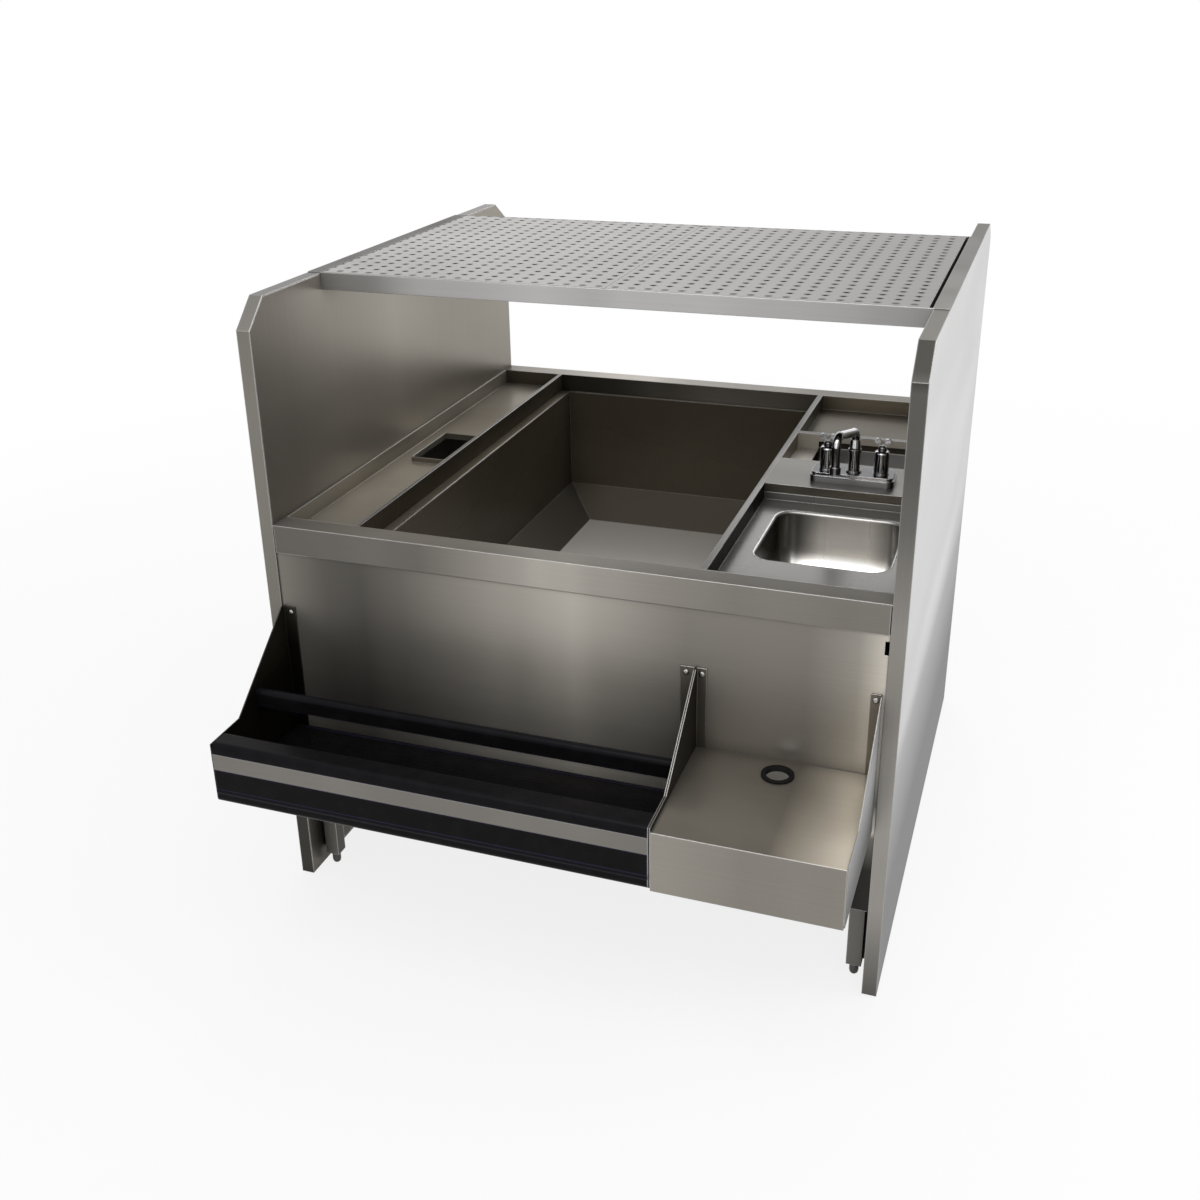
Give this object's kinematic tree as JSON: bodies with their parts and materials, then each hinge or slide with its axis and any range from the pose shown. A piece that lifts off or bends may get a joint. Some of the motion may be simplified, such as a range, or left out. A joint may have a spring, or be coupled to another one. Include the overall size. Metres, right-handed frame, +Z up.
{
  "type": "bar sink with ice bin",
  "caption": "Stainless bar workstation with an ice bin, a small sink with faucet and recessed trays between two side panels, a perforated drain shelf above and a bottle rail in front.",
  "frame": {"origin": "centre of the footprint at the floor, midway in width and midway in depth, rail included", "axes": "+X to the user's right along the width, +Y from the user to the back, +Z up; the bottle rail is on the -Y side"},
  "size_m": [1.143, 1.372, 1.1585],
  "materials": {
    "stainless": "brushed",
    "stainless_pale": "brushed",
    "stainless_dark": "brushed",
    "chrome": "polished",
    "rail_black": "gloss",
    "rubber_black": "matte",
    "foam": "matte",
    "brass": "satin"
  },
  "bodies": {
    "unit": {"left_panel_skin": "stainless", "left_panel_liner": "stainless", "right_panel_skin": "stainless", "right_panel_liner": "stainless", "shelf_pan": "stainless", "deck_frame": "stainless", "left_tray": "stainless_pale", "tray_divider": "stainless", "sink_divider": "stainless", "ice_bin_ledge": "stainless", "ice_bin_liner": "stainless_dark", "ice_bin_insulation": "foam", "ice_bin_jacket": "stainless_dark", "ice_bin_drain": "chrome", "ice_bin_locknut": "brass", "rear_tray": "stainless_pale", "cross_rail": "stainless", "chase_well": "stainless_pale", "faucet_deck": "stainless", "sink_plate": "stainless_pale", "sink_bowl": "stainless_pale", "sink_drain": "chrome", "sink_locknut": "brass", "faucet_base": "chrome", "spout_nut": "chrome", "cold_bonnet": "chrome", "hot_bonnet": "chrome", "supply_shanks": "brass", "shank_nuts": "brass", "front_panel": "stainless", "rear_panel": "stainless", "rail_trough": "rail_black", "rail_bar": "rail_black", "rail_stripe": "stainless", "rail_end_left": "stainless", "rail_end_right": "stainless", "rail_screws": "chrome", "box_shelf": "stainless", "shelf_bracket_left": "stainless", "shelf_bracket_right": "stainless", "shelf_screws": "chrome", "grommet": "rubber_black", "leg_post_front_left": "stainless_dark", "leg_post_front_right": "stainless_dark", "leg_post_rear_left": "stainless_dark", "leg_post_rear_right": "stainless_dark", "base_rail_left": "stainless_dark", "base_rail_right": "stainless_dark"},
    "spout": {"spout": "chrome", "aerator": "chrome"},
    "cold_handle": {"cold_handle": "chrome"},
    "hot_handle": {"hot_handle": "chrome"},
    "insert_left": {"perforated_insert_left": "stainless_pale"},
    "insert_right": {"perforated_insert_right": "stainless_pale"},
    "sink_strainer": {"sink_strainer": "chrome"},
    "ice_bin_strainer": {"ice_bin_strainer": "chrome"},
    "foot_front_left": {"foot_front_left": "chrome"},
    "foot_front_right": {"foot_front_right": "chrome"},
    "foot_rear_left": {"foot_rear_left": "chrome"},
    "foot_rear_right": {"foot_rear_right": "chrome"}
  },
  "joints": [
    {"name": "spout_swivel", "type": "hinge", "parent": "unit", "child": "spout", "pos_m": [0.398, 0.108, 0.8], "axis": [0, 0, 1], "range_deg": [-176, 184]},
    {"name": "hot_handle_turn", "type": "hinge", "parent": "unit", "child": "hot_handle", "pos_m": [0.3472, 0.108, 0.823], "axis": [0, 0, 1], "range_deg": [0, 90]},
    {"name": "cold_handle_turn", "type": "hinge", "parent": "unit", "child": "cold_handle", "pos_m": [0.4488, 0.108, 0.823], "axis": [0, 0, 1], "range_deg": [-90, 0]},
    {"name": "insert_left_lift", "type": "slide", "parent": "unit", "child": "insert_left", "axis": [0, 0, 1], "range_m": [0, 0.15]},
    {"name": "insert_right_lift", "type": "slide", "parent": "unit", "child": "insert_right", "axis": [0, 0, 1], "range_m": [0, 0.15]},
    {"name": "sink_strainer_lift", "type": "slide", "parent": "unit", "child": "sink_strainer", "axis": [0, 0, 1], "range_m": [0, 0.2]},
    {"name": "ice_bin_strainer_lift", "type": "slide", "parent": "unit", "child": "ice_bin_strainer", "axis": [0, 0, 1], "range_m": [0, 0.2]},
    {"name": "foot_front_left_level", "type": "slide", "parent": "unit", "child": "foot_front_left", "axis": [0, 0, -1], "range_m": [0, 0.012]},
    {"name": "foot_front_right_level", "type": "slide", "parent": "unit", "child": "foot_front_right", "axis": [0, 0, -1], "range_m": [0, 0.012]},
    {"name": "foot_rear_left_level", "type": "slide", "parent": "unit", "child": "foot_rear_left", "axis": [0, 0, -1], "range_m": [0, 0.012]},
    {"name": "foot_rear_right_level", "type": "slide", "parent": "unit", "child": "foot_rear_right", "axis": [0, 0, -1], "range_m": [0, 0.012]}
  ]
}
